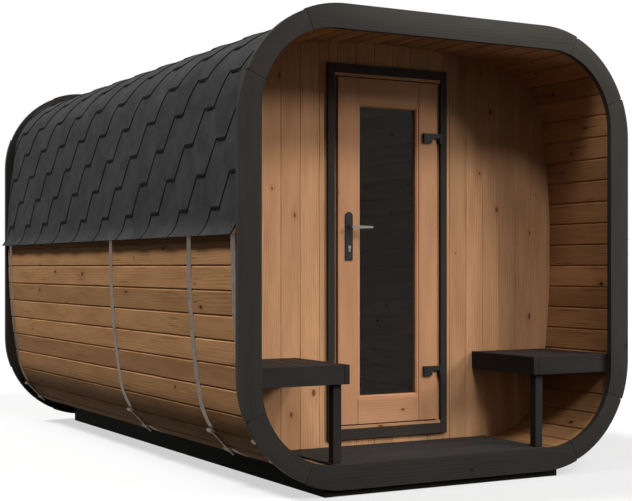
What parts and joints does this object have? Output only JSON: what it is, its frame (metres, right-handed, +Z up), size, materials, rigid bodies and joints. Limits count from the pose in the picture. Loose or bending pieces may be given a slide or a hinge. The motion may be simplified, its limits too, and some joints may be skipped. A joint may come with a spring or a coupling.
{
  "type": "cube sauna cabin",
  "caption": "Round-cornered wooden garden sauna with black end rings, open porch with two benches, glazed hinged door with lever handle and shingled roof.",
  "frame": {"origin": "centre of the length and width at ground level, under the skids", "axes": "+X to the right seen from the front, +Y from the porch end to the rear end, +Z up"},
  "size_m": [2.1574, 3.44, 2.118],
  "materials": {
    "black_wood": "satin",
    "pine": "matte",
    "bitumen": "matte",
    "galvanised_steel": "satin",
    "black_metal": "satin",
    "tinted_glass": "gloss"
  },
  "bodies": {
    "cabin": {"base_skids": "black_wood", "base_bearers": "black_wood", "shell_bottom": "pine", "shell_low_left": "pine", "shell_low_right": "pine", "shell_left": "pine", "shell_right": "pine", "shell_high_left": "pine", "shell_high_right": "pine", "shell_top": "pine", "front_ring_sides": "black_wood", "front_ring_top": "black_wood", "front_ring_sill": "black_wood", "front_ring_corners": "black_wood", "rear_ring_sides": "black_wood", "rear_ring_top": "black_wood", "rear_ring_sill": "black_wood", "rear_ring_corners": "black_wood", "porch_deck": "black_wood", "cabin_floor": "pine", "front_wall_left": "pine", "front_wall_right": "pine", "front_wall_over_door": "pine", "front_wall_under_door": "pine", "rear_wall": "pine", "door_casing": "black_wood", "door_jamb": "pine", "hinge_pins": "black_metal", "bench_left": "black_wood", "bench_right": "black_wood", "bench_posts": "black_wood", "straps": "galvanised_steel", "strap_tensioners": "galvanised_steel", "roof_felt": "bitumen", "eave_battens": "pine"},
    "door": {"door_leaf": "pine", "door_glass": "tinted_glass", "glass_beads": "pine", "handle_plates": "black_metal", "hinge_leaves": "black_metal"},
    "lever": {"lever_handles": "black_metal"}
  },
  "joints": [
    {"name": "door_swing", "type": "hinge", "parent": "cabin", "child": "door", "pos_m": [0.292, -1.217, 1], "axis": [0, 0, 1], "range_deg": [0, 105]},
    {"name": "lever_turn", "type": "hinge", "parent": "door", "child": "lever", "pos_m": [-0.2245, -1.205, 1.176], "axis": [0, 1, 0], "range_deg": [0, 40], "stiffness_Nm_per_rad": 3, "springref_deg": -14.32}
  ]
}
